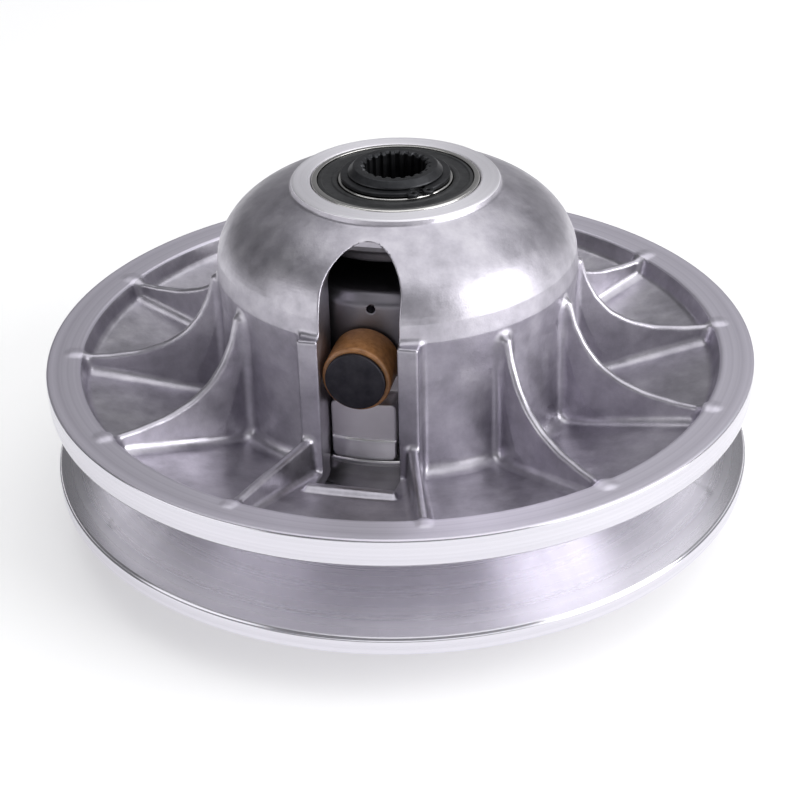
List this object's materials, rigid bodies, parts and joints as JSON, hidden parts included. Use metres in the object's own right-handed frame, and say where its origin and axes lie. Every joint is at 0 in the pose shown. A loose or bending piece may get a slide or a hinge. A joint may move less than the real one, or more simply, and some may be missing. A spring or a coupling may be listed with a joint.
{
  "type": "driven clutch pulley",
  "caption": "Driven pulley of a stepless belt drive: domed ribbed sheave on a splined post, sliding lower sheave, slot rollers, cam and spring.",
  "frame": {"origin": "on the shaft axis, at the bottom face of the lower sheave's rim, which is level with the post's lower end", "axes": "+Z along the shaft axis towards the dome's top; -Y towards the first roller slot"},
  "size_m": [0.27, 0.27, 0.1181],
  "materials": {
    "cast_aluminium": "as cast, tumbled, softly shiny",
    "turned_aluminium": "fine turned, bright",
    "machined_steel": "machined",
    "bronze": "plain bearing bronze",
    "black_steel": "black oxide",
    "seal_rubber": "matt black rubber",
    "dark_steel": "hardened, dark grey",
    "roller_composite": "brown wear-resistant composite",
    "bearing_steel": "ground bearing steel"
  },
  "bodies": {
    "post": {"post": "black_steel", "cam": "machined_steel", "cam_screw_1": "black_steel", "cam_screw_2": "black_steel", "cam_screw_3": "black_steel", "cam_screw_4": "black_steel", "bearing_inner_race": "bearing_steel", "post_circlip": "black_steel", "spring_seat": "machined_steel", "compression_spring": "dark_steel"},
    "bearing_cage": {"bearing_cage": "dark_steel", "bearing_ball_1": "bearing_steel", "bearing_ball_2": "bearing_steel", "bearing_ball_3": "bearing_steel", "bearing_ball_4": "bearing_steel", "bearing_ball_5": "bearing_steel", "bearing_ball_6": "bearing_steel", "bearing_ball_7": "bearing_steel", "bearing_ball_8": "bearing_steel", "bearing_ball_9": "bearing_steel", "bearing_ball_10": "bearing_steel", "bearing_ball_11": "bearing_steel"},
    "stationary_sheave": {"stationary_sheave": "cast_aluminium", "bearing_outer_race": "bearing_steel", "bearing_seal_top": "seal_rubber", "bearing_seal_bottom": "seal_rubber"},
    "movable_sheave": {"movable_sheave": "turned_aluminium", "roller_carrier": "machined_steel", "carrier_bushing": "bronze", "carrier_screw_1": "black_steel", "carrier_screw_2": "black_steel", "carrier_screw_3": "black_steel", "carrier_screw_4": "black_steel", "roller_pin_1": "dark_steel", "roller_pin_2": "dark_steel", "thrust_washer": "machined_steel"},
    "slot_roller_1": {"slot_roller_1": "roller_composite"},
    "cam_roller_1": {"cam_roller_1": "roller_composite"},
    "slot_roller_2": {"slot_roller_2": "roller_composite"},
    "cam_roller_2": {"cam_roller_2": "roller_composite"}
  },
  "joints": [
    {"name": "sheave_twist", "type": "hinge", "parent": "post", "child": "stationary_sheave", "pos_m": [0, 0, 0.0465], "axis": [0, 0, 1], "range_deg": [-25.5, 0]},
    {"name": "sheave_slide", "type": "slide", "parent": "stationary_sheave", "child": "movable_sheave", "axis": [0, 0, -1], "range_m": [0, 0.02], "stiffness_N_per_m": 7000, "springref_m": -0.03, "deforming": ["compression_spring"]},
    {"name": "bearing_cage_turn", "type": "hinge", "parent": "post", "child": "bearing_cage", "pos_m": [0, 0, 0.1064], "axis": [0, 0, 1], "range_deg": [-15, 0]},
    {"name": "slot_roller_1_spin", "type": "hinge", "parent": "movable_sheave", "child": "slot_roller_1", "pos_m": [-0.00126, -0.05999, 0.0652], "axis": [-0.0209, -0.9998, 0], "range_deg": [-95, 0]},
    {"name": "cam_roller_1_spin", "type": "hinge", "parent": "movable_sheave", "child": "cam_roller_1", "pos_m": [-0.00075, -0.03599, 0.0652], "axis": [-0.0209, -0.9998, 0], "range_deg": [0, 185]},
    {"name": "slot_roller_2_spin", "type": "hinge", "parent": "movable_sheave", "child": "slot_roller_2", "pos_m": [0.00126, 0.05999, 0.0652], "axis": [0.0209, 0.9998, 0], "range_deg": [-95, 0]},
    {"name": "cam_roller_2_spin", "type": "hinge", "parent": "movable_sheave", "child": "cam_roller_2", "pos_m": [0.00075, 0.03599, 0.0652], "axis": [0.0209, 0.9998, 0], "range_deg": [0, 185]}
  ],
  "couplings": [
    {"joint": "sheave_twist", "follows": "sheave_slide", "rad_per_m": -21.817},
    {"joint": "bearing_cage_turn", "follows": "sheave_slide", "rad_per_m": -12.479},
    {"joint": "slot_roller_1_spin", "follows": "sheave_slide", "rad_per_m": -81.301},
    {"joint": "cam_roller_1_spin", "follows": "sheave_slide", "rad_per_m": 158.44},
    {"joint": "slot_roller_2_spin", "follows": "sheave_slide", "rad_per_m": -81.301},
    {"joint": "cam_roller_2_spin", "follows": "sheave_slide", "rad_per_m": 158.44}
  ]
}
